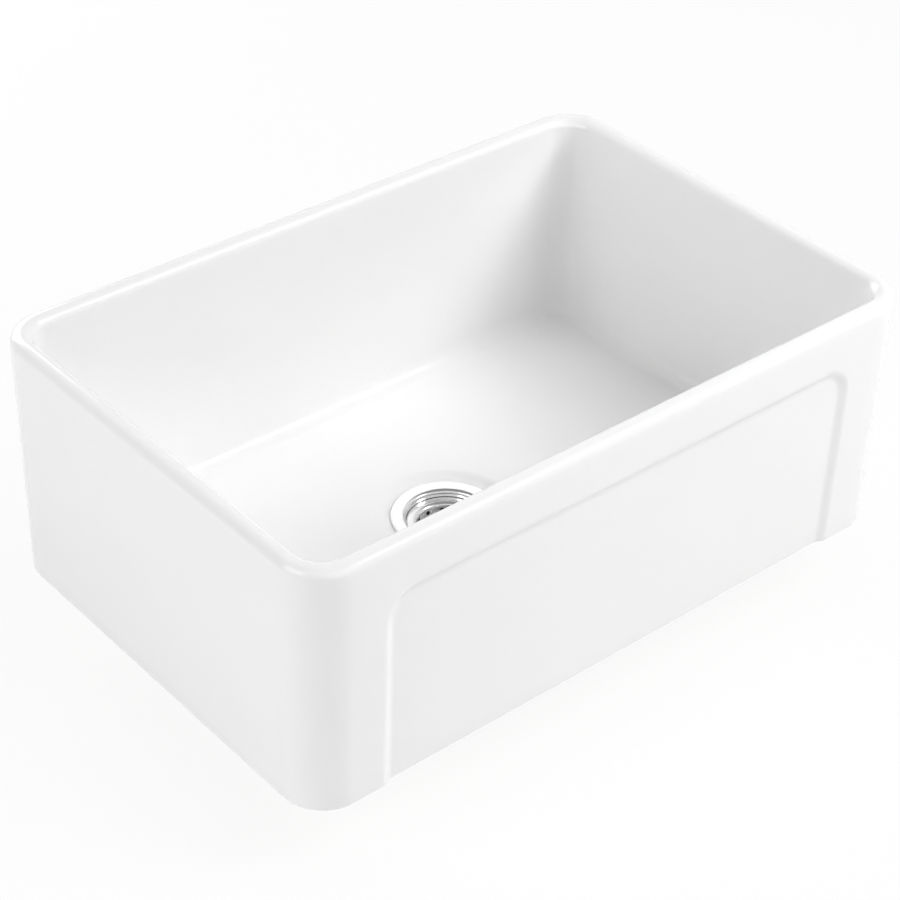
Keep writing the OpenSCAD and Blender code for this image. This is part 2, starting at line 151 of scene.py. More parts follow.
def circle_row(guide, radius, z):
    """A circle about the outlet, with each point in line with the guide row's point."""
    row = []
    for x, y, _ in guide:
        a = math.atan2(y - OUTLET_Y, x)
        row.append((radius * math.cos(a), OUTLET_Y + radius * math.sin(a), z))
    return row


def between(row_a, row_b, count):
    """count rows between two rows, and the second of them."""
    return [
        [tuple(p + (q - p) * k / (count + 1) for p, q in zip(a, b)) for a, b in zip(row_a, row_b)]
        for k in range(1, count + 2)
    ]


def turns(low, high, count):
    """count angles from low to high degrees, in radians."""
    return [math.radians(a) for a in spread(low, high, count)]


# The outside: the rounded foot, the leaning wall with its panel, and the rolled rim.
outer_rows = []
for a in turns(0, 90, 7):
    z = FOOT_R * (1 - math.cos(a))
    inset = DRAFT * (1 - z / (BOWL_H - RIM_R)) + FOOT_R * (1 - math.sin(a))
    outer_rows.append(bowl_row(inset, CORNER_R - inset, z, panel=True))
wall_z = spread(0.02, PANEL_TOP - 0.046, 9)
wall_z += spread(PANEL_TOP - EDGE_IN, PANEL_TOP + EDGE_OUT, FINE_COUNT)
wall_z += spread(PANEL_TOP + 0.02, BOWL_H - RIM_R - 0.008, 3)
for z in wall_z:
    inset = DRAFT * (1 - z / (BOWL_H - RIM_R))
    outer_rows.append(bowl_row(inset, CORNER_R - inset, z, panel=True))
for a in turns(0, 90, 13):
    inset = RIM_R * (1 - math.cos(a))
    outer_rows.append(bowl_row(inset, CORNER_R - inset, BOWL_H - RIM_R * (1 - math.sin(a))))
for a in turns(7.5, 90, 12):
    inset = WALL - RIM_R * (1 - math.sin(a))
    blend = 2 * a / math.pi
    corner = (1 - blend) * (CORNER_R - inset) + blend * BASIN_CORNER_R
    outer_rows.append(bowl_row(inset, corner, BOWL_H - RIM_R * (1 - math.cos(a))))

# The basin: its leaning walls, the cove, the falling floor and the round dish.
WALL_FOOT = WALL + BASIN_DRAFT
cove_rows = []
for a in turns(0, 90, 13):
    inset = COVE_R * (1 - math.cos(a))
    z = FLOOR_Z + COVE_R * (1 - math.sin(a))
    cove_rows.append(bowl_row(WALL_FOOT + inset, BASIN_FOOT_R - inset, z))
inner_rows = between(outer_rows[-1], cove_rows[0], 12)[:-1]
floor_ring = cove_rows[-1]
dish_top = circle_row(floor_ring, DISH_R, FLOOR_Z - FLOOR_FALL)
floor_rows = between(floor_ring, dish_top, 12)
dish_rows = []
for t in spread(1 / 14, 1, 14):
    fall = FLOOR_Z - FLOOR_FALL - SEAT_Z
    dish_rows.append(circle_row(
        floor_ring, DISH_R - t * (DISH_R - SEAT_R), SEAT_Z + fall * (1 - soft_step(t))))

# The flat seat of the waste, its hole with eased edges, and the flat underside.
seat_rows = [circle_row(floor_ring, r, SEAT_Z) for r in (0.057, 0.052)]
for a in turns(90, 0, 4):
    edge_r = HOLE_R + HOLE_EDGE * (1 - math.cos(a))
    seat_rows.append(circle_row(floor_ring, edge_r, SEAT_Z - HOLE_EDGE * (1 - math.sin(a))))
for a in turns(0, 90, 4):
    edge_r = HOLE_R + HOLE_EDGE * (1 - math.cos(a))
    seat_rows.append(circle_row(floor_ring, edge_r, HOLE_EDGE * (1 - math.sin(a))))
under_rows = between(seat_rows[-1], outer_rows[0], 8)[:-1]
bowl_rows = outer_rows + inner_rows + cove_rows + floor_rows + dish_rows + seat_rows + under_rows


def ring_faces(row_count, row_length):
    """Four-sided faces between closed rows of points, of which the last joins the first."""
    faces = []
    for k in range(row_count):
        low, high = k * row_length, (k + 1) % row_count * row_length
        for i in range(row_length):
            j = (i + 1) % row_length
            faces.append((low + i, low + j, high + j, high + i))
    return faces


def add_piece(name, points, faces, body, slot, *nodes):
    """Makes a smooth mesh with outward faces that rides on a body in place of its solids."""
    mesh = bpy.data.meshes.new(name)
    mesh.from_pydata(points, [], faces)
    shape = bmesh.new()
    shape.from_mesh(mesh)
    bmesh.ops.remove_doubles(shape, verts=shape.verts, dist=1e-7)
    bmesh.ops.recalc_face_normals(shape, faces=shape.faces)
    shape.to_mesh(mesh)
    shape.free()
    mesh.shade_smooth()
    mesh.set_sharp_from_angle(angle=math.radians(32))
    piece = bpy.data.objects.new(name, mesh)
    bpy.context.scene.collection.objects.link(piece)
    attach(piece, body)
    if nodes:
        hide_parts(*nodes)
    return piece


bowl = add_piece(
    "glazed_bowl", [p for row in bowl_rows for p in row],
    ring_faces(len(bowl_rows), len(bowl_rows[0])), "bowl", "fireclay", "sink_body")


def shader(name, colour, roughness, metallic=0.0):
    """A material with its main shader, and the lists that its other nodes go in."""
    made = bpy.data.materials.new(name)
    made.use_nodes = True
    nodes, links = made.node_tree.nodes, made.node_tree.links
    main = nodes["Principled BSDF"]
    main.inputs["Base Color"].default_value = (*colour, 1)
    main.inputs["Roughness"].default_value = roughness
    main.inputs["Metallic"].default_value = metallic
    return made, main, nodes, links


def add_noise(nodes, links, scale, detail):
    """A noise texture in the piece's own metres."""
    noise = nodes.new("ShaderNodeTexNoise")
    noise.inputs["Scale"].default_value = scale
    noise.inputs["Detail"].default_value = detail
    links.new(nodes.new("ShaderNodeTexCoord").outputs["Object"], noise.inputs["Vector"])
    return noise.outputs["Fac"]


def map_range(nodes, links, value, from_min, from_max, to_min, to_max):
    """Maps a value from one range to another and holds it within the second."""
    stretch = nodes.new("ShaderNodeMapRange")
    stretch.inputs["From Min"].default_value = from_min
    stretch.inputs["From Max"].default_value = from_max
    stretch.inputs["To Min"].default_value = to_min
    stretch.inputs["To Max"].default_value = to_max
    links.new(value, stretch.inputs["Value"])
    return stretch.outputs["Result"]


def spread_value(nodes, links, value, low, high):
    """Stretches a noise to run from low to high."""
    return map_range(nodes, links, value, 0.3, 0.7, low, high)


def blend_colours(nodes, links, value, first, second):
    """Runs a colour from first to second as a value goes from 0 to 1."""
    mix = nodes.new("ShaderNodeMix")
    mix.data_type = "RGBA"
    mix.inputs["A"].default_value = (*first, 1)
    mix.inputs["B"].default_value = (*second, 1)
    links.new(value, mix.inputs["Factor"])
    return mix.outputs["Result"]


def add_bump(nodes, links, main, height, distance):
    """Raises the surface by a height map, by a real distance."""
    bump = nodes.new("ShaderNodeBump")
    bump.inputs["Strength"].default_value = 1.0
    bump.inputs["Distance"].default_value = distance
    links.new(height, bump.inputs["Height"])
    links.new(bump.outputs["Normal"], main.inputs["Normal"])


GLAZE_WHITE = (0.930, 0.930, 0.930)
GLAZE_THIN = (0.915, 0.915, 0.914)
glaze, main, nodes, links = shader("white_glaze", GLAZE_WHITE, 0.10)
cloud = spread_value(nodes, links, add_noise(nodes, links, 5, 3), 0, 1)
tint = blend_colours(nodes, links, cloud, GLAZE_WHITE, GLAZE_THIN)
links.new(tint, main.inputs["Base Color"])
sheen = spread_value(nodes, links, add_noise(nodes, links, 30, 2), 0.08, 0.13)
links.new(sheen, main.inputs["Roughness"])
add_bump(nodes, links, main, add_noise(nodes, links, 45, 2), 0.00004)
main.inputs["IOR"].default_value = 1.52
bowl.data.materials.append(glaze)

BARE_CLAY = (0.80, 0.77, 0.70)
BARE_CLAY_DARK = (0.70, 0.66, 0.58)
bare_clay, main, nodes, links = shader("bare_fireclay", BARE_CLAY, 0.85)
grain = spread_value(nodes, links, add_noise(nodes, links, 90, 6), 0, 1)
links.new(blend_colours(nodes, links, grain, BARE_CLAY, BARE_CLAY_DARK), main.inputs["Base Color"])
add_bump(nodes, links, main, add_noise(nodes, links, 900, 4), 0.0002)
bowl.data.materials.append(bare_clay)
for face in bowl.data.polygons:
    if face.center.z < FOOT_R * 0.2 and face.normal.z < -0.5:
        face.material_index = 1


# The strainer cup. A pressed stainless cup with a polished flange that seats in the dish, a
# ledge that carries the basket, and a slotted floor with a dimple for the clamp screw.
CUP_T = 0.0009
CUP_R = 0.0427
CUP_LOW_R = 0.0373
FLANGE_TOP = 0.0165
MOUTH_TOP = 0.0161
FLANGE_EDGE_C = 0.0577
FLANGE_EDGE_R = 0.0016
MOUTH_C = 0.0471
MOUTH_R = 0.0044
LEDGE_Z = 0.0070
CUP_FLOOR_Z = -0.0325
CUP_BEND_C = 0.0283
CUP_BEND_R = 0.0080
DIMPLE_R = 0.0081
DIMPLE_Z = -0.0365
SCREW_WAY_R = 0.0033
SLOT_LOW_R = 0.0111
SLOT_HIGH_R = 0.0181
SLOT_COUNT = 6
SPOKE_W = 0.004
LEDGE_ROOT_R = 0.001
LEDGE_EDGE_R = 0.0014
DIMPLE_RIM_R = DIMPLE_R + 0.0018
DIMPLE_EASE = 0.0030
ROUND_STEPS = 144
SHEET_GRID = 0.0016
HOLE_ROOM = 0.00035


def arc_path(centre_r, centre_z, radius, start, stop, count):
    """Points on an arc in the profile plane, from start to stop degrees."""
    return [
        (centre_r + radius * math.cos(a), centre_z + radius * math.sin(a))
        for a in turns(start, stop, count)
    ]


def shift_path(path, thickness):
    """The other side of a sheet whose path runs from the outside in."""
    shifted = []
    for i, (r, z) in enumerate(path):
        sides = []
        for p, q in ((path[max(i - 1, 0)], path[max(i, 1)]),
                     (path[min(i, len(path) - 2)], path[min(i + 1, len(path) - 1)])):
            run, rise = q[0] - p[0], q[1] - p[1]
            length = math.hypot(run, rise)
            sides.append((rise / length, -run / length))
        across, down = sides[0][0] + sides[1][0], sides[0][1] + sides[1][1]
        reach = 2 * thickness / (across * across + down * down)
        shifted.append((r - across * reach, z - down * reach))
    return shifted


def refine_path(path, longest):
    """Splits the long stretches of a path, with a close point at both ends to keep them flat."""
    fine = [path[0]]
    for p, q in zip(path, path[1:]):
        length = math.hypot(q[0] - p[0], q[1] - p[1])
        pieces = max(1, math.ceil(length / longest))
        stops = [k / pieces for k in range(1, pieces)]
        if length > longest / 2:
            ease = longest / 10 / length
            stops = [ease] + stops + [1 - ease]
        fine += [tuple(a + (b - a) * t for a, b in zip(p, q)) for t in stops + [1]]
    return fine


def inside_loop(x, y, loop):
    """Whether a point in the flat blank lies inside a hole."""
    inside = False
    for (ax, ay), (bx, by) in zip(loop, loop[1:] + loop[:1]):
        if (ay > y) != (by > y) and x < ax + (y - ay) / (by - ay) * (bx - ax):
            inside = not inside
    return inside


def press_sheet(name, path, thickness, holes, body, slot, *nodes):
    """Presses a round blank to a profile. Holes are loops of distance along the sheet and angle."""
    path = refine_path(path[::-1], SHEET_GRID)
    under = shift_path(path[::-1], thickness)[::-1]
    along = [path[0][0]]
    for p, q in zip(path, path[1:]):
        along.append(along[-1] + math.hypot(q[0] - p[0], q[1] - p[1]))
    loops = [[(s * math.cos(a), s * math.sin(a)) for s, a in holes_loop(along, path)]
             for holes_loop in holes]
    boxes = [(min(p[0] for p in loop), max(p[0] for p in loop), min(p[1] for p in loop),
              max(p[1] for p in loop)) for loop in loops]

    def in_hole(x, y, margin):
        """Whether a point lies in a hole or within a margin of its edge."""
        for loop, (x0, x1, y0, y1) in zip(loops, boxes):
            if x0 - margin < x < x1 + margin and y0 - margin < y < y1 + margin:
                if inside_loop(x, y, loop):
                    return True
                if margin and min(math.hypot(x - p[0], y - p[1]) for p in loop) < margin:
                    return True
        return False

    # The flat blank is rings of points, with the rim, the middle and the holes as fixed edges.
    flat, edges = [], []
    for k, s in enumerate(along):
        first = len(flat)
        on_edge = k in (0, len(along) - 1)
        for i in range(ROUND_STEPS):
            a = 2 * math.pi * i / ROUND_STEPS
            x, y = s * math.cos(a), s * math.sin(a)
            if on_edge or not in_hole(x, y, HOLE_ROOM):
                flat.append((x, y))
        if on_edge:
            edges += [(first + i, first + (i + 1) % ROUND_STEPS) for i in range(ROUND_STEPS)]
    for loop in loops:
        first = len(flat)
        flat += loop
        edges += [(first + i, first + (i + 1) % len(loop)) for i in range(len(loop))]
    made = delaunay_2d_cdt([Vector(p) for p in flat], edges, [], 0, 1e-9)
    flat, triangles = made[0], made[2]
    low = along[0] * math.cos(math.pi / ROUND_STEPS) - 1e-6
    kept = []
    for triangle in triangles:
        x = sum(flat[i].x for i in triangle) / 3
        y = sum(flat[i].y for i in triangle) / 3
        if math.hypot(x, y) > low and not in_hole(x, y, 0):
            kept.append(tuple(triangle))

    def pressed(profile, p):
        """Where a point of the flat blank comes to lie on a pressed profile."""
        s, a = p.length, math.atan2(p.y, p.x)
        k = min(max(bisect.bisect_right(along, s) - 1, 0), len(along) - 2)
        t = min(max((s - along[k]) / (along[k + 1] - along[k]), 0), 1)
        r = profile[k][0] + t * (profile[k + 1][0] - profile[k][0])
        z = profile[k][1] + t * (profile[k + 1][1] - profile[k][1])
        return (r * math.cos(a), OUTLET_Y + r * math.sin(a), z)

    # Both faces of the sheet are pressed from the blank, and its cut edges are closed.
    count = len(flat)
    points = [pressed(path, p) for p in flat] + [pressed(under, p) for p in flat]
    faces = kept + [tuple(i + count for i in reversed(t)) for t in kept]
    sides = {}
    for t in kept:
        for i, j in zip(t, t[1:] + t[:1]):
            sides[(i, j)] = sides.get((i, j), 0) + 1
    faces += [(j, i, i + count, j + count) for i, j in sides if (j, i) not in sides]
    return add_piece(name, points, faces, body, slot, *nodes)


def slot_loop(first_angle, last_angle):
    """A slot in the cup's floor between two spokes with straight sides."""
    def loop(along, path):
        made = []
        for r, back in ((SLOT_HIGH_R, False), (SLOT_LOW_R, True)):
            ease = math.asin(SPOKE_W / 2 / r)
            s = distance_at(along, path, r)
            row = [(s, a) for a in spread(first_angle + ease, last_angle - ease, 14)]
            made += row[::-1] if back else row
        return made
    return loop


def distance_at(along, path, r):
    """Distance along the sheet at which the profile first reaches a radius."""
    for k in range(len(path) - 1):
        if path[k][0] <= r <= path[k + 1][0] and path[k + 1][0] > path[k][0]:
            t = (r - path[k][0]) / (path[k + 1][0] - path[k][0])
            return along[k] + t * (along[k + 1] - along[k])
    return along[-1]


cup_path = (
    arc_path(FLANGE_EDGE_C, FLANGE_TOP - FLANGE_EDGE_R, FLANGE_EDGE_R, 10, 90, 9)
    + arc_path(MOUTH_C, MOUTH_TOP - MOUTH_R, MOUTH_R, 90, 180, 15)
    + arc_path(CUP_R - LEDGE_ROOT_R, LEDGE_Z + LEDGE_ROOT_R, LEDGE_ROOT_R, 0, -90, 7)
    + arc_path(CUP_LOW_R + LEDGE_EDGE_R, LEDGE_Z - LEDGE_EDGE_R, LEDGE_EDGE_R, 90, 180, 8)
    + arc_path(CUP_BEND_C, CUP_FLOOR_Z + CUP_BEND_R, CUP_BEND_R, 0, -90, 13)
    + [(DIMPLE_RIM_R, CUP_FLOOR_Z)]
    + [(DIMPLE_RIM_R - DIMPLE_EASE * t, CUP_FLOOR_Z + (DIMPLE_Z - CUP_FLOOR_Z) * soft_step(t))
       for t in spread(0.1, 1, 10)]
    + [(SCREW_WAY_R, DIMPLE_Z)]
)
spoke_angles = [2 * math.pi * i / SLOT_COUNT for i in range(SLOT_COUNT + 1)]
cup = press_sheet(
    "strainer_cup_shell", cup_path, CUP_T,
    [slot_loop(a, b) for a, b in zip(spoke_angles, spoke_angles[1:])],
    "bowl", "stainless", "strainer_cup")


def outlet_radius(nodes, links):
    """Distance from the outlet's axis, in the piece's own metres."""
    place = nodes.new("ShaderNodeTexCoord").outputs["Object"]
    move = nodes.new("ShaderNodeVectorMath")
    move.operation = "MULTIPLY_ADD"
    move.inputs[1].default_value = (1, 1, 0)
    move.inputs[2].default_value = (0, -OUTLET_Y, 0)
    links.new(place, move.inputs[0])
    length = nodes.new("ShaderNodeVectorMath")
    length.operation = "LENGTH"
    links.new(move.outputs[0], length.inputs[0])
    return length.outputs["Value"]


def turning_lines(nodes, links, scale):
    """Fine rings about the outlet's axis, as polishing and turning leave them."""
    rings = nodes.new("ShaderNodeTexNoise")
    rings.noise_dimensions = "1D"
    rings.inputs["Scale"].default_value = scale
    rings.inputs["Detail"].default_value = 3
    links.new(outlet_radius(nodes, links), rings.inputs["W"])
    return rings.outputs["Fac"]


STEEL = (0.86, 0.86, 0.86)
STEEL_WORN = (0.80, 0.80, 0.80)
polished_steel, main, nodes, links = shader("polished_steel", STEEL, 0.07, 1.0)
smears = spread_value(nodes, links, add_noise(nodes, links, 60, 4), 0, 1)
links.new(blend_colours(nodes, links, smears, STEEL, STEEL_WORN), main.inputs["Base Color"])
polish = spread_value(nodes, links, turning_lines(nodes, links, 4000), 0.05, 0.12)
links.new(polish, main.inputs["Roughness"])
add_bump(nodes, links, main, turning_lines(nodes, links, 1500), 0.0000008)
cup.data.materials.append(polished_steel)


# The seals. Moulded rubber rings: a thin one under the flange, a thick one under the casting
# and a washer under the screw's head, all squeezed when the screw is tightened.
RUBBER = (0.022, 0.022, 0.023)
RUBBER_BLOOM = (0.050, 0.050, 0.051)
OUTLET_SEAL_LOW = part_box("outlet_seal")[0].z
OUTLET_SEAL_IN = HOLE_R + 0.0003
OUTLET_SEAL_OUT = OUTLET_SEAL_IN + 0.0105
SEAL_BULGE = 0.0002
SOFT_POINTS = 4


def soften(outline, radius, count=SOFT_POINTS):
    """Rounds the corners of a closed outline in the profile plane, but not on the axis."""
    made = []
    for i, (r, z) in enumerate(outline):
        if r < 1e-6:
            made.append((r, z))
            continue
        before, after = outline[i - 1], outline[(i + 1) % len(outline)]
        ends = []
        for other in (before, after):
            run, rise = other[0] - r, other[1] - z
            length = math.hypot(run, rise)
            reach = min(radius, 0.45 * length)
            ends.append((r + run / length * reach, z + rise / length * reach))
        for t in spread(0, 1, count):
            made.append(tuple(
                (1 - t) ** 2 * a + 2 * t * (1 - t) * m + t * t * b
                for a, m, b in zip(ends[0], (r, z), ends[1])))
    return made


def turn_rows(outline, steps=96):
    """Rows of points about the outlet's axis, one for each point of the outline."""
    angles = [2 * math.pi * i / steps for i in range(steps)]
    return [[(r * math.cos(a), OUTLET_Y + r * math.sin(a), z) for a in angles]
            for r, z in outline]


def turn_piece(name, outline, body, slot, *nodes):
    """Turns a closed outline about the outlet's axis."""
    rows = turn_rows(outline)
    return add_piece(name, [p for row in rows for p in row],
                     ring_faces(len(rows), len(rows[0])), body, slot, *nodes)


outlet_ring = turn_piece(
    "outlet_seal_ring",
    soften([(OUTLET_SEAL_IN, 0), (OUTLET_SEAL_IN, OUTLET_SEAL_LOW),
            (OUTLET_SEAL_OUT - SEAL_BULGE, OUTLET_SEAL_LOW),
            (OUTLET_SEAL_OUT, OUTLET_SEAL_LOW / 2), (OUTLET_SEAL_OUT - SEAL_BULGE, 0)], 0.0005),
    "bowl", "rubber", "outlet_seal")
rubber, main, nodes, links = shader("moulded_rubber", RUBBER, 0.62)
bloom = spread_value(nodes, links, add_noise(nodes, links, 140, 5), 0, 1)
links.new(blend_colours(nodes, links, bloom, RUBBER, RUBBER_BLOOM), main.inputs["Base Color"])
links.new(spread_value(nodes, links, add_noise(nodes, links, 300, 3), 0.52, 0.74),
          main.inputs["Roughness"])
add_bump(nodes, links, main, add_noise(nodes, links, 1500, 3), 0.00003)
outlet_ring.data.materials.append(rubber)


def finish_node(name, material):
    """Gives a solid that stays in view its finished material."""
    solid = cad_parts[name]
    solid.data.materials.clear()
    solid.data.materials.append(material)


finish_node("flange_seal", rubber)
finish_node("screw_washer", rubber)


# The outlet body. One white polypropylene moulding: a ribbed flange under the casting, a bowl
# round the cup, a cone, a collar, and a tail with a 1 1/2 inch pipe thread for the trap's nut.
BODY_T = 0.003
BODY_TOP = OUTLET_SEAL_LOW
BODY_IN_R = 0.0408
BODY_OUT_R = BODY_IN_R + BODY_T
BODY_FLANGE_R = HOLE_R + 0.012
BODY_FLANGE_T = 0.004
BODY_BEND_R = BODY_IN_R - CUP_BEND_C
CUP_BEND_Z = CUP_FLOOR_Z + CUP_BEND_R
TAIL_R = 0.0239
TAIL_IN_R = TAIL_R - BODY_T
TAIL_BEND_R = 0.006
TAIL_TOP = -0.04667
THREAD_TOP = TAIL_TOP - 0.005
TAIL_END = THREAD_TOP - 0.022
COLLAR_R = TAIL_R + 0.0016
THREAD_PITCH = 0.002309
THREAD_DEPTH = 0.00142
RIB_COUNT = 8
RIB_T = 0.0024
RIB_H = 0.015
RIB_EDGE_R = 0.0004
RIB_ROOT = 0.0008
ARM_COUNT = 4
ARM_EDGE_R = 0.0005
BOSS_R = 0.007
BOSS_TOP = DIMPLE_Z - CUP_T
BOSS_LOW = -0.0544
INSERT_R = 0.005
INSERT_TOP = -0.0394
INSERT_LOW = -0.0514
ARM_H = 0.008

body_inside = (
    arc_path(CUP_BEND_C, CUP_BEND_Z, BODY_BEND_R, 0, -60, 12)
    + arc_path(TAIL_IN_R + TAIL_BEND_R, TAIL_TOP, TAIL_BEND_R, 120, 180, 8)
    + [(TAIL_IN_R, TAIL_END)]
)
body_outside = shift_path([(BODY_IN_R, BODY_TOP)] + body_inside, BODY_T)[1:-1]
ROOT_R = TAIL_R - THREAD_DEPTH
flange_edge = soften([
    (BODY_IN_R, BODY_TOP), (BODY_FLANGE_R, BODY_TOP), (BODY_FLANGE_R, BODY_TOP - BODY_FLANGE_T),
    (BODY_OUT_R, BODY_TOP - BODY_FLANGE_T), (BODY_OUT_R, CUP_BEND_Z)],
    0.0006)[SOFT_POINTS:-SOFT_POINTS]
collar = soften([
    (TAIL_R, TAIL_TOP), (COLLAR_R, TAIL_TOP - 0.0002), (COLLAR_R, THREAD_TOP),
    (ROOT_R, THREAD_TOP), (ROOT_R, TAIL_END + 0.0010), (ROOT_R - 0.0006, TAIL_END),
    (TAIL_IN_R, TAIL_END)], 0.0004)[SOFT_POINTS:]
body_outline = [(BODY_IN_R, BODY_TOP)] + flange_edge + body_outside + collar + body_inside[-2::-1]
body_rows = turn_rows(body_outline)
body_points = [p for row in body_rows for p in row]
body_faces = ring_faces(len(body_rows), len(body_rows[0]))


def join_rows(points, faces, rows):
    """Adds a strip of rows to a piece's points and faces."""
    first, length = len(points), len(rows[0])
    points += [p for row in rows for p in row]
    for k in range(len(rows) - 1):
        for i in range(length - 1):
            a, b = first + k * length, first + (k + 1) * length
            faces.append((a + i, a + i + 1, b + i + 1, b + i))


def thread_rows(root_r, crest_r, pitch, start, stop, steps=60):
    """A closed helical ridge from start down to stop that runs out to a point at both ends."""
    count = round((start - stop - 1.4 * pitch) / pitch * steps)
    half_ridge = ((0.49, -0.15), (0.32, 0.35), (0.13, 1))
    ridge = half_ridge + tuple((-across, share) for across, share in half_ridge[::-1])
    ridge += half_ridge[:1]
    rows = []
    for j in range(count + 1):
        a = 2 * math.pi * j / steps
        z = start - 0.7 * pitch - pitch * j / steps
        size = min(1, 3 * j / steps, 3 * (count - j) / steps)
        row = []
        for across, share in ridge:
            r = root_r + (crest_r - root_r) * share * size
            row.append((r * math.cos(a), OUTLET_Y + r * math.sin(a), z + across * pitch * size))
        rows.append(row)
    return rows


join_rows(body_points, body_faces,
          thread_rows(ROOT_R, TAIL_R, THREAD_PITCH, THREAD_TOP, TAIL_END))
boss_rows = turn_rows(soften([
    (0, BOSS_LOW), (BOSS_R, BOSS_LOW), (BOSS_R, BOSS_TOP), (SCREW_WAY_R, BOSS_TOP),
    (SCREW_WAY_R, INSERT_TOP), (INSERT_R, INSERT_TOP), (INSERT_R, INSERT_LOW),
    (0, INSERT_LOW)], 0.0008), 48)
first = len(body_points)
body_points += [p for row in boss_rows for p in row]
body_faces += [tuple(first + i for i in face)
               for face in ring_faces(len(boss_rows), len(boss_rows[0]))]


def plate_faces(points, faces, outline, thickness, angle, bevel):
    """A flat rib in a plane through the outlet's axis, with its edges rounded."""
    shape = bmesh.new()
    ends = []
    for side in (-0.5, 0.5):
        ends.append([shape.verts.new((r, side * thickness, z)) for r, z in outline])
        shape.faces.new(ends[-1])
    count = len(outline)
    for i in range(count):
        j = (i + 1) % count
        shape.faces.new((ends[0][i], ends[0][j], ends[1][j], ends[1][i]))
    bmesh.ops.recalc_face_normals(shape, faces=shape.faces)
    bmesh.ops.bevel(shape, geom=shape.edges[:], offset=bevel, segments=2, profile=0.5,
                    affect="EDGES")
    shape.verts.index_update()
    first = len(points)
    for vertex in shape.verts:
        x, y, z = vertex.co
        points.append((x * math.cos(angle) - y * math.sin(angle),
                       OUTLET_Y + x * math.sin(angle) + y * math.cos(angle), z))
    faces += [tuple(first + v.index for v in face.verts) for face in shape.faces]
    shape.free()


rib_low = BODY_TOP - BODY_FLANGE_T
rib_outline = [
    (BODY_OUT_R - RIB_ROOT, rib_low + 0.0005), (BODY_FLANGE_R - 0.001, rib_low + 0.0005),
    (BODY_FLANGE_R - 0.001, rib_low - 0.001), (BODY_OUT_R + 0.0005, rib_low - RIB_H),
    (BODY_OUT_R - RIB_ROOT, rib_low - RIB_H)]
arm_outline = [
    (BOSS_R - 0.0005, TAIL_TOP), (TAIL_IN_R + RIB_ROOT, TAIL_TOP),
    (TAIL_IN_R + RIB_ROOT, TAIL_TOP - ARM_H), (BOSS_R - 0.0005, TAIL_TOP - ARM_H)]
for outline, count, edge_r in ((rib_outline, RIB_COUNT, RIB_EDGE_R),
                               (arm_outline, ARM_COUNT, ARM_EDGE_R)):
    for i in range(count):
        plate_faces(body_points, body_faces, outline, RIB_T, math.pi * (2 * i + 1) / count, edge_r)
outlet_moulding = add_piece("outlet_moulding", body_points, body_faces, "bowl", "moulding",
                            "outlet_body")
PLASTIC = (0.850, 0.850, 0.840)
PLASTIC_WARM = (0.820, 0.818, 0.800)
moulding, main, nodes, links = shader("white_polypropylene", PLASTIC, 0.42)
flow = spread_value(nodes, links, add_noise(nodes, links, 35, 3), 0, 1)
links.new(blend_colours(nodes, links, flow, PLASTIC, PLASTIC_WARM), main.inputs["Base Color"])
links.new(spread_value(nodes, links, add_noise(nodes, links, 200, 2), 0.36, 0.50),
          main.inputs["Roughness"])
add_bump(nodes, links, main, add_noise(nodes, links, 2200, 2), 0.00002)
outlet_moulding.data.materials.append(moulding)


# The clamp screw and its brass insert. A long stainless pan-head screw pulls the cup and the
# outlet body together through the casting, into an insert moulded in the boss.
screw_steel, main, nodes, links = shader("turned_steel", STEEL_WORN, 0.25, 1.0)
links.new(spread_value(nodes, links, turning_lines(nodes, links, 6000), 0.18, 0.34),
          main.inputs["Roughness"])
add_bump(nodes, links, main, turning_lines(nodes, links, 6000), 0.000006)
finish_node("clamp_screw", screw_steel)
BRASS = (0.72, 0.55, 0.26)
BRASS_DULL = (0.62, 0.45, 0.19)
brass, main, nodes, links = shader("turned_brass", BRASS, 0.3, 1.0)
dull = spread_value(nodes, links, add_noise(nodes, links, 160, 4), 0, 1)
links.new(blend_colours(nodes, links, dull, BRASS, BRASS_DULL), main.inputs["Base Color"])
add_bump(nodes, links, main, turning_lines(nodes, links, 6000), 0.000006)
finish_node("insert_nut", brass)


# The basket. A pressed and pierced stainless basket that hangs by its rim from the cup's ledge,
# with a moulded bush clipped through its bottom and a spring ring in the bush.
BASKET_T = 0.0007
BASKET_RIM_Z = 0.0080
BASKET_RIM_R = 0.0420
BASKET_EDGE_R = 0.0009
BASKET_ROLL = 0.005
BASKET_WALL_R = 0.031
BASKET_FLAT_R = 0.025
BASKET_FLOOR_Z = -0.015
BASKET_FLOOR_R = 0.004
BUSH_R = 0.0051
BUSH_WAY_R = 0.00308
BUSH_LIP_T = 0.001
BUSH_LIP_R = 0.0067
BUSH_LOW = -0.0171
BUSH_TOP = -0.0128
BOTTOM_HOLE_R = 0.0018
BOTTOM_RINGS = ((0.0101, 10), (0.01575, 16), (0.0214, 22))
WALL_HOLE_R = 0.0024
WALL_HOLES = 12
WALL_HOLES_AT_R = 0.030
WALL_ROWS = ((0.0006, 90), (-0.0058, 90 + 180 / WALL_HOLES))


def round_hole(radius, angle, size, level=None):
    """A round hole in the bottom at a radius, or in the wall at a level."""
    def loop(along, path):
        if level is None:
            s = distance_at(along, path, radius)
        else:
            k = next(k for k in range(len(path) - 1)
                     if path[k][0] > BASKET_FLAT_R and path[k][1] <= level < path[k + 1][1])
            t = (level - path[k][1]) / (path[k + 1][1] - path[k][1])
            s = along[k] + t * (along[k + 1] - along[k])
        return [(s + size * math.cos(a), angle + size * math.sin(a) / radius)
                for a in turns(0, 345, 24)]
    return loop


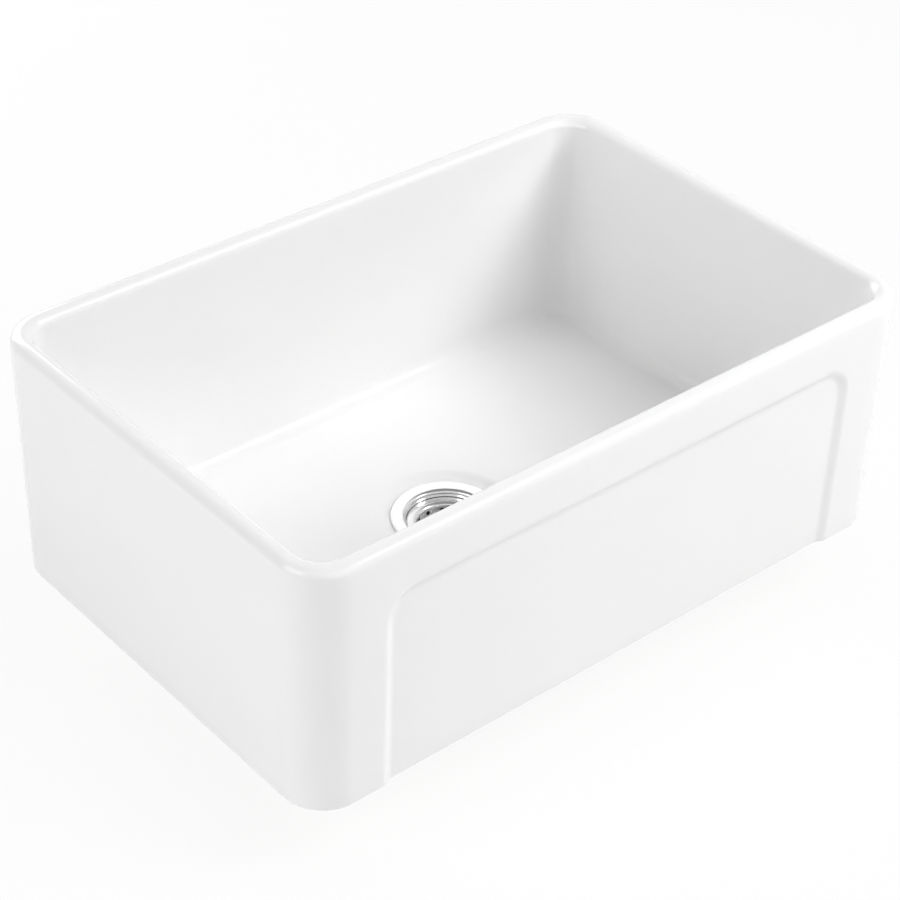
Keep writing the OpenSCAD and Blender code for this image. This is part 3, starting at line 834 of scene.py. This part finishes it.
basket_path = (
    arc_path(BASKET_RIM_R - BASKET_EDGE_R, BASKET_RIM_Z - BASKET_EDGE_R, BASKET_EDGE_R, 45, 90, 6)
    + arc_path(BASKET_WALL_R + BASKET_ROLL, BASKET_RIM_Z - BASKET_ROLL, BASKET_ROLL, 90, 175, 14)
    + arc_path(BASKET_FLAT_R, BASKET_FLOOR_Z + BASKET_FLOOR_R, BASKET_FLOOR_R, -5, -90, 10)
    + [(BUSH_R + 0.00003, BASKET_FLOOR_Z)]
)
basket_holes = [
    round_hole(r, 2 * math.pi * i / count, BOTTOM_HOLE_R)
    for r, count in BOTTOM_RINGS for i in range(count)]
basket_holes += [
    round_hole(WALL_HOLES_AT_R, math.radians(start + 360 * i / WALL_HOLES), WALL_HOLE_R, level)
    for level, start in WALL_ROWS for i in range(WALL_HOLES)]
basket = press_sheet("basket_pressing", basket_path, BASKET_T, basket_holes, "basket", "stainless",
                     "basket_shell")
satin_steel, main, nodes, links = shader("satin_steel", STEEL, 0.25, 1.0)
smears = spread_value(nodes, links, add_noise(nodes, links, 90, 4), 0, 1)
links.new(blend_colours(nodes, links, smears, STEEL, STEEL_WORN), main.inputs["Base Color"])
links.new(spread_value(nodes, links, add_noise(nodes, links, 120, 3), 0.17, 0.23),
          main.inputs["Roughness"])
add_bump(nodes, links, main, turning_lines(nodes, links, 1200), 0.000001)
basket.data.materials.append(satin_steel)
bush = turn_piece("stem_bush", soften([
    (BUSH_WAY_R, BUSH_LOW), (BUSH_R, BUSH_LOW), (BUSH_R + 0.001, BASKET_FLOOR_Z - BASKET_T),
    (BUSH_R, BASKET_FLOOR_Z - BASKET_T), (BUSH_R, BASKET_FLOOR_Z),
    (BUSH_LIP_R, BASKET_FLOOR_Z), (BUSH_LIP_R, BASKET_FLOOR_Z + BUSH_LIP_T),
    (BUSH_R, BUSH_TOP), (BUSH_WAY_R, BUSH_TOP)], 0.0003), "basket", "moulding", "guide_bush")
bush.data.materials.append(moulding)
finish_node("detent_ring", screw_steel)


# The stopper. A turned knob and stem lift a rubber stopper off the cup's floor, and a small
# riveted plate holds the rubber on the stem.
STEM_R = 0.003
KNOB_R = 0.009
KNOB_NECK_R = 0.0055
KNOB_LOW = 0.005
KNOB_TOP = 0.016
STOPPER_R = 0.027
STOPPER_TOP = -0.0174
HUB_LOW = -0.0202
LIP_LOW = -0.0222
PLATE_LOW = -0.0212
PLATE_R = 0.0075
TENON_R = 0.0022
RIVET_H = 0.0008
WAIST_LEVELS = (-0.015, -0.005)
WAIST_H = 0.0016
WAIST_DEPTH = 0.0004
knob_turning = turn_piece("pull_knob", soften([
    (0, KNOB_LOW), (KNOB_NECK_R + 0.001, KNOB_LOW), (KNOB_NECK_R, KNOB_LOW + 0.002),
    (KNOB_NECK_R, KNOB_TOP - 0.005), (KNOB_R, KNOB_TOP - 0.0034), (KNOB_R, KNOB_TOP),
    (KNOB_R - 0.0024, KNOB_TOP), (KNOB_R - 0.0030, KNOB_TOP - 0.0003), (0, KNOB_TOP - 0.0004)],
    0.0011, 6), "stopper", "stainless", "knob")
knob_turning.data.materials.append(polished_steel)
stem_waists = []
for level in WAIST_LEVELS:
    stem_waists += [
        (STEM_R, level - WAIST_H / 2), (STEM_R - WAIST_DEPTH, level - WAIST_H / 4),
        (STEM_R - WAIST_DEPTH, level + WAIST_H / 4), (STEM_R, level + WAIST_H / 2)]
stem_turning = turn_piece("pull_stem", soften(
    [(0, PLATE_LOW - RIVET_H), (STEM_R + 0.0008, PLATE_LOW - RIVET_H),
     (STEM_R + 0.0012, PLATE_LOW), (TENON_R, PLATE_LOW), (TENON_R, STOPPER_TOP),
     (STEM_R, STOPPER_TOP)] + stem_waists
    + [(STEM_R, KNOB_LOW), (TENON_R, KNOB_LOW), (TENON_R, KNOB_LOW + 0.004),
       (0, KNOB_LOW + 0.004)], 0.0002), "stopper", "stainless", "stem")
stem_turning.data.materials.append(screw_steel)
stopper_rubber = turn_piece("stopper_disc", soften([
    (TENON_R, HUB_LOW), (STOPPER_R - 0.009, HUB_LOW), (STOPPER_R - 0.0055, LIP_LOW),
    (STOPPER_R - 0.001, LIP_LOW), (STOPPER_R, LIP_LOW + 0.001), (STOPPER_R, STOPPER_TOP - 0.001),
    (STOPPER_R - 0.001, STOPPER_TOP), (TENON_R, STOPPER_TOP)], 0.0008), "stopper", "rubber",
    "stopper_seal")
stopper_rubber.data.materials.append(rubber)
plate = turn_piece("stopper_plate", soften([
    (TENON_R, PLATE_LOW), (PLATE_R, PLATE_LOW), (PLATE_R, HUB_LOW), (TENON_R, HUB_LOW)], 0.0003),
    "stopper", "stainless", "seal_plate")
plate.data.materials.append(polished_steel)


# Floor, light and camera. The floor and the world are white to the camera, and the floor keeps
# a faint shadow of the sink.
scene = bpy.context.scene
scene.view_settings.view_transform = "Standard"


def calculate(nodes, links, operation, first, second):
    """One step of arithmetic on a socket and on another socket or a number."""
    step = nodes.new("ShaderNodeMath")
    step.operation = operation
    links.new(first, step.inputs[0])
    if isinstance(second, float):
        step.inputs[1].default_value = second
    else:
        links.new(second, step.inputs[1])
    return step.outputs[0]


def seen_directly(nodes, links):
    """1 for rays from the camera and for rays by way of gloss or glass, else 0."""
    path = nodes.new("ShaderNodeLightPath")
    seen = path.outputs["Is Camera Ray"]
    for kind in ("Is Glossy Ray", "Is Transmission Ray"):
        seen = calculate(nodes, links, "MAXIMUM", seen, path.outputs[kind])
    return seen


# The world only shows. The camera sees it white, and glaze and steel mirror it white up to a
# ceiling that is darker overhead.
CEILING_START = 0.60
CEILING_END = 0.88
CEILING_TONE = 0.3
world = bpy.data.worlds.new("studio")
scene.world = world
world.use_nodes = True
nodes, links = world.node_tree.nodes, world.node_tree.links
backdrop = nodes["Background"]
backdrop.inputs["Color"].default_value = (1, 1, 1, 1)
facing = nodes.new("ShaderNodeSeparateXYZ")
links.new(nodes.new("ShaderNodeTexCoord").outputs["Generated"], facing.inputs["Vector"])
tone = map_range(
    nodes, links, facing.outputs["Z"], CEILING_START, CEILING_END, 1.0, CEILING_TONE)
camera_ray = nodes.new("ShaderNodeLightPath").outputs["Is Camera Ray"]
tone = calculate(nodes, links, "MAXIMUM", tone, camera_ray)
tone = calculate(nodes, links, "MULTIPLY", tone, seen_directly(nodes, links))
links.new(tone, backdrop.inputs["Strength"])

FLOOR_REACH = 6.0
FLOOR_GAP = 0.0005
FLOOR_COLOUR = (0.9, 0.9, 0.9)
FLOOR_GLOW = 0.90
floor_z = cad_box[0][2] - FLOOR_GAP
mesh = bpy.data.meshes.new("studio_floor")
mesh.from_pydata(
    [(x * FLOOR_REACH, y * FLOOR_REACH, floor_z) for x, y in ((-1, -1), (1, -1), (1, 1), (-1, 1))],
    [], [(0, 1, 2, 3)])
floor = bpy.data.objects.new("studio_floor", mesh)
scene.collection.objects.link(floor)
paint = bpy.data.materials.new("pale_floor")
paint.use_nodes = True
nodes, links = paint.node_tree.nodes, paint.node_tree.links
nodes.clear()
matt = nodes.new("ShaderNodeBsdfDiffuse")
matt.inputs["Color"].default_value = (*FLOOR_COLOUR, 1)
glow = nodes.new("ShaderNodeEmission")
glow.inputs["Color"].default_value = (1, 1, 1, 1)
glow.inputs["Strength"].default_value = 1.0
mix = nodes.new("ShaderNodeMixShader")
glow_share = calculate(nodes, links, "MULTIPLY", seen_directly(nodes, links), FLOOR_GLOW)
links.new(glow_share, mix.inputs["Fac"])
links.new(matt.outputs[0], mix.inputs[1])
links.new(glow.outputs[0], mix.inputs[2])
links.new(mix.outputs[0], nodes.new("ShaderNodeOutputMaterial").inputs["Surface"])
floor.data.materials.append(paint)


def add_lamp(name, place, target, width, height, watts, in_gloss=True):
    """A soft lamp that faces a target. in_gloss says whether glaze and steel mirror it."""
    data = bpy.data.lights.new(name, "AREA")
    data.shape = "RECTANGLE"
    data.size = width
    data.size_y = height
    data.energy = watts
    lamp = bpy.data.objects.new(name, data)
    scene.collection.objects.link(lamp)
    lamp.location = place
    facing = Vector(target) - Vector(place)
    lamp.rotation_euler = facing.to_track_quat("-Z", "Y").to_euler()
    lamp.visible_glossy = in_gloss


add_lamp("key_lamp", (1.5, -1.7, 2.6), (0, 0, 0.1), 2.4, 2.4, 79, False)
add_lamp("strip_lamp", (1.52, -1.81, 1.95), (0, 0, 0.1), 1.0, 0.8, 15)
add_lamp("front_lamp", (-0.4, -2.6, 1.0), (0, 0, 0.1), 1.8, 1.8, 8)
add_lamp("left_lamp", (-2.6, 0, 1.0), (0, 0, 0.1), 1.8, 1.8, 35)
add_lamp("back_lamp", (0, 2.6, 1.2), (0, 0, 0.1), 1.8, 1.8, 40)
add_lamp("top_lamp", (0, 0, 2.6), (0, 0, 0), 2.0, 2.0, 9, False)

# The camera looks from the front left and above, and was solved from the sink's outline.
CAMERA_PLACE = Vector((-1.291385, -1.464009, 1.509419))
CAMERA_TURN = math.radians(-41.1996)
CAMERA_RISE = math.radians(35.7137)
CAMERA_ROLL = math.radians(1.8534)
CAMERA_LENS = 95.253
back = Vector((
    math.sin(CAMERA_TURN) * math.cos(CAMERA_RISE),
    -math.cos(CAMERA_TURN) * math.cos(CAMERA_RISE), math.sin(CAMERA_RISE)))
level = Vector((0, 0, 1)).cross(back).normalized()
upward = back.cross(level)
right = math.cos(CAMERA_ROLL) * level + math.sin(CAMERA_ROLL) * upward
top = math.cos(CAMERA_ROLL) * upward - math.sin(CAMERA_ROLL) * level
camera_data = bpy.data.cameras.new("camera")
camera_data.lens = CAMERA_LENS
camera_data.sensor_width = 36
camera_data.clip_start = 0.01
camera = bpy.data.objects.new("camera", camera_data)
scene.collection.objects.link(camera)
turned = Matrix((right, top, back)).transposed().to_4x4()
camera.matrix_world = Matrix.Translation(CAMERA_PLACE) @ turned
scene.camera = camera
